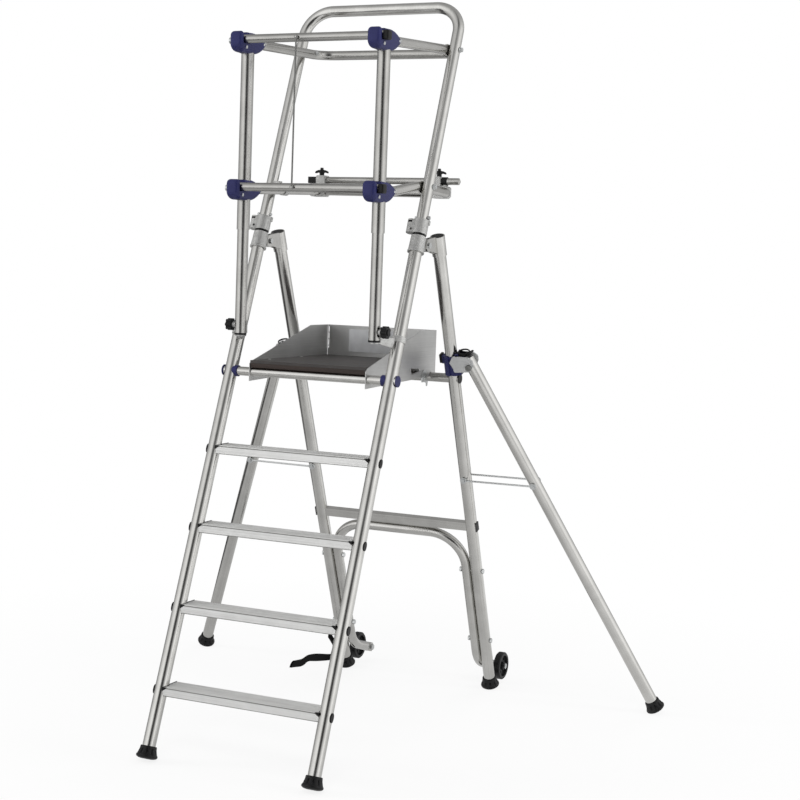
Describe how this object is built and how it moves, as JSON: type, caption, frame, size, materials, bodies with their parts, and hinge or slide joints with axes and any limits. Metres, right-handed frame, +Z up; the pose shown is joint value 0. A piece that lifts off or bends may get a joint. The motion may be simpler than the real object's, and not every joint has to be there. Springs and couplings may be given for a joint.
{
  "type": "rolling platform ladder",
  "caption": "Folding warehouse platform ladder with ribbed treads, a guardrail with a swing-up gate, a slanted handrail hoop, swing-out stabilisers and tilt-to-roll wheels.",
  "frame": {"origin": "on the floor at the middle of the open ladder's footprint, stabilisers included", "axes": "+X is the climbing user's right, +Y points to the back, +Z is up"},
  "size_m": [1.8668, 1.518, 2.334],
  "materials": {
    "extruded_aluminium": "satin drawn tube",
    "tread_aluminium": "ribbed mill finish",
    "cast_aluminium": "fine cast grey",
    "tray_aluminium": "bright sheet",
    "plated_steel": "zinc plated",
    "black_steel": "satin black paint",
    "light_grey_steel": "light grey paint",
    "navy_nylon": "moulded navy",
    "black_nylon": "moulded black",
    "black_rubber": "moulded rubber",
    "grey_rubber_wheel": "moulded wheel",
    "plywood": "film faced plywood"
  },
  "bodies": {
    "ladder": {"stile_left": "extruded_aluminium", "stile_right": "extruded_aluminium", "tread_1": "tread_aluminium", "tread_2": "tread_aluminium", "tread_3": "tread_aluminium", "tread_4": "tread_aluminium", "tread_ends_and_tube_caps": "black_nylon", "front_feet": "black_rubber", "platform_front_tube": "extruded_aluminium", "platform_tube_bushes": "navy_nylon", "handrail_hoop": "extruded_aluminium", "stile_castings": "cast_aluminium", "guard_posts": "extruded_aluminium", "post_clamps": "cast_aluminium", "corner_brackets": "navy_nylon", "guard_rails_rear": "extruded_aluminium", "guard_rails_right": "extruded_aluminium", "guard_fasteners": "plated_steel", "rail_clamps": "cast_aluminium"},
    "rear_frame": {"rear_leg_left": "extruded_aluminium", "rear_leg_right": "extruded_aluminium", "rear_crossbar": "extruded_aluminium", "rear_platform_tube": "extruded_aluminium", "rear_bar_plugs": "black_nylon", "rear_sockets": "cast_aluminium", "wheel_frame": "extruded_aluminium", "rear_frame_bolts": "plated_steel", "rear_feet": "black_rubber"},
    "platform": {"deck_board": "plywood", "toe_board_left": "tray_aluminium", "toe_board_right": "tray_aluminium", "toe_board_rear": "tray_aluminium"},
    "platform_catch": {"platform_latch": "plated_steel"},
    "wheel_left": {"wheel_left": "grey_rubber_wheel"},
    "wheel_right": {"wheel_right": "grey_rubber_wheel"},
    "foot_lever": {"foot_lever": "black_steel"},
    "gate_top": {"gate_top_bar": "extruded_aluminium", "gate_top_cap": "black_nylon"},
    "gate_mid": {"gate_mid_bar": "extruded_aluminium", "gate_mid_cap": "black_nylon"},
    "gate_link": {"gate_link": "plated_steel"},
    "post_knob_left": {"post_knob_left": "black_nylon"},
    "post_knob_right": {"post_knob_right": "black_nylon"},
    "clamp_knob_left": {"clamp_knob_left": "black_nylon"},
    "clamp_knob_right": {"clamp_knob_right": "black_nylon"},
    "accessory_bar": {"accessory_bar": "extruded_aluminium", "accessory_bar_plugs": "black_nylon"},
    "stabiliser_collar_left": {"stabiliser_collar_left": "navy_nylon", "stabiliser_plates_left": "light_grey_steel"},
    "stabiliser_left": {"stabiliser_tube_left": "extruded_aluminium", "stabiliser_foot_left": "black_rubber"},
    "stabiliser_brace_left": {"stabiliser_brace_left": "plated_steel"},
    "stabiliser_lever_left": {"stabiliser_lever_left": "black_nylon"},
    "stabiliser_collar_right": {"stabiliser_collar_right": "navy_nylon", "stabiliser_plates_right": "light_grey_steel"},
    "stabiliser_right": {"stabiliser_tube_right": "extruded_aluminium", "stabiliser_foot_right": "black_rubber"},
    "stabiliser_brace_right": {"stabiliser_brace_right": "plated_steel"},
    "stabiliser_lever_right": {"stabiliser_lever_right": "black_nylon"}
  },
  "joints": [
    {"name": "rear_frame_fold", "type": "hinge", "parent": "ladder", "child": "rear_frame", "pos_m": [0, -0.076, 1.552], "axis": [-1, 0, 0], "range_deg": [0, 42.3]},
    {"name": "platform_tilt", "type": "hinge", "parent": "ladder", "child": "platform", "pos_m": [0, -0.29257, 1.141], "axis": [1, 0, 0], "range_deg": [0, 69.5]},
    {"name": "platform_catch_turn", "type": "hinge", "parent": "platform", "child": "platform_catch", "pos_m": [0.204, 0.115, 1.129], "axis": [-1, 0, 0], "range_deg": [0, 25]},
    {"name": "wheel_left_spin", "type": "hinge", "parent": "rear_frame", "child": "wheel_left", "pos_m": [-0.288, 0.71, 0.062], "axis": [1, 0, 0], "continuous": true},
    {"name": "wheel_right_spin", "type": "hinge", "parent": "rear_frame", "child": "wheel_right", "pos_m": [0.288, 0.71, 0.062], "axis": [1, 0, 0], "continuous": true},
    {"name": "foot_lever_press", "type": "hinge", "parent": "rear_frame", "child": "foot_lever", "pos_m": [-0.314, 0.575, 0.084], "axis": [1, 0, 0], "range_deg": [0, 9.5]},
    {"name": "gate_top_swing", "type": "hinge", "parent": "ladder", "child": "gate_top", "pos_m": [-0.231, -0.368, 2.155], "axis": [0, -1, 0], "range_deg": [0, 80]},
    {"name": "gate_mid_swing", "type": "hinge", "parent": "ladder", "child": "gate_mid", "pos_m": [-0.231, -0.368, 1.71], "axis": [0, -1, 0], "range_deg": [0, 80]},
    {"name": "gate_link_swing", "type": "hinge", "parent": "gate_top", "child": "gate_link", "pos_m": [-0.03, -0.385, 2.155], "axis": [0, -1, 0], "range_deg": [-80, 0]},
    {"name": "post_knob_left_turn", "type": "hinge", "parent": "ladder", "child": "post_knob_left", "pos_m": [-0.266, -0.321, 1.287], "axis": [1, 0, 0], "continuous": true},
    {"name": "clamp_knob_left_turn", "type": "hinge", "parent": "ladder", "child": "clamp_knob_left", "pos_m": [-0.214, 0.159, 1.79], "axis": [0, 0, 1], "continuous": true},
    {"name": "post_knob_right_turn", "type": "hinge", "parent": "ladder", "child": "post_knob_right", "pos_m": [0.266, -0.321, 1.287], "axis": [1, 0, 0], "continuous": true},
    {"name": "clamp_knob_right_turn", "type": "hinge", "parent": "ladder", "child": "clamp_knob_right", "pos_m": [0.214, 0.159, 1.79], "axis": [0, 0, 1], "continuous": true},
    {"name": "accessory_bar_slide", "type": "slide", "parent": "ladder", "child": "accessory_bar", "axis": [1, 0, 0], "range_m": [-0.03, 0]},
    {"name": "stabiliser_left_slide", "type": "slide", "parent": "rear_frame", "child": "stabiliser_collar_left", "axis": [0, -0.3665, 0.9304], "range_m": [0, 0.2727]},
    {"name": "stabiliser_left_swing", "type": "hinge", "parent": "stabiliser_collar_left", "child": "stabiliser_left", "pos_m": [-0.353, 0.15738, 1.17698], "axis": [0, -0.9304, -0.3665], "range_deg": [0, 23.41]},
    {"name": "stabiliser_left_brace_turn", "type": "hinge", "parent": "rear_frame", "child": "stabiliser_brace_left", "pos_m": [-0.286, 0.31057, 0.78806], "axis": [0, 0.9304, 0.3665], "range_deg": [0, 73.8]},
    {"name": "stabiliser_left_lever_lift", "type": "hinge", "parent": "stabiliser_collar_left", "child": "stabiliser_lever_left", "pos_m": [-0.312, 0.14198, 1.21606], "axis": [0, 0.9304, 0.3665], "range_deg": [0, 70]},
    {"name": "stabiliser_right_slide", "type": "slide", "parent": "rear_frame", "child": "stabiliser_collar_right", "axis": [0, -0.3665, 0.9304], "range_m": [0, 0.2727]},
    {"name": "stabiliser_right_swing", "type": "hinge", "parent": "stabiliser_collar_right", "child": "stabiliser_right", "pos_m": [0.353, 0.15738, 1.17698], "axis": [0, 0.9304, 0.3665], "range_deg": [0, 23.41]},
    {"name": "stabiliser_right_brace_turn", "type": "hinge", "parent": "rear_frame", "child": "stabiliser_brace_right", "pos_m": [0.286, 0.31057, 0.78806], "axis": [0, -0.9304, -0.3665], "range_deg": [0, 73.8]},
    {"name": "stabiliser_right_lever_lift", "type": "hinge", "parent": "stabiliser_collar_right", "child": "stabiliser_lever_right", "pos_m": [0.312, 0.14198, 1.21606], "axis": [0, -0.9304, -0.3665], "range_deg": [0, 70]}
  ],
  "couplings": [
    {"joint": "platform_tilt", "follows": "rear_frame_fold", "ratio": 1.636},
    {"joint": "gate_mid_swing", "follows": "gate_top_swing", "ratio": 1},
    {"joint": "gate_link_swing", "follows": "gate_top_swing", "ratio": -1},
    {"joint": "stabiliser_left_swing", "follows": "stabiliser_left_slide", "rad_per_m": 1.4976},
    {"joint": "stabiliser_left_brace_turn", "follows": "stabiliser_left_slide", "rad_per_m": 4.72},
    {"joint": "stabiliser_right_swing", "follows": "stabiliser_right_slide", "rad_per_m": 1.4976},
    {"joint": "stabiliser_right_brace_turn", "follows": "stabiliser_right_slide", "rad_per_m": 4.72}
  ]
}
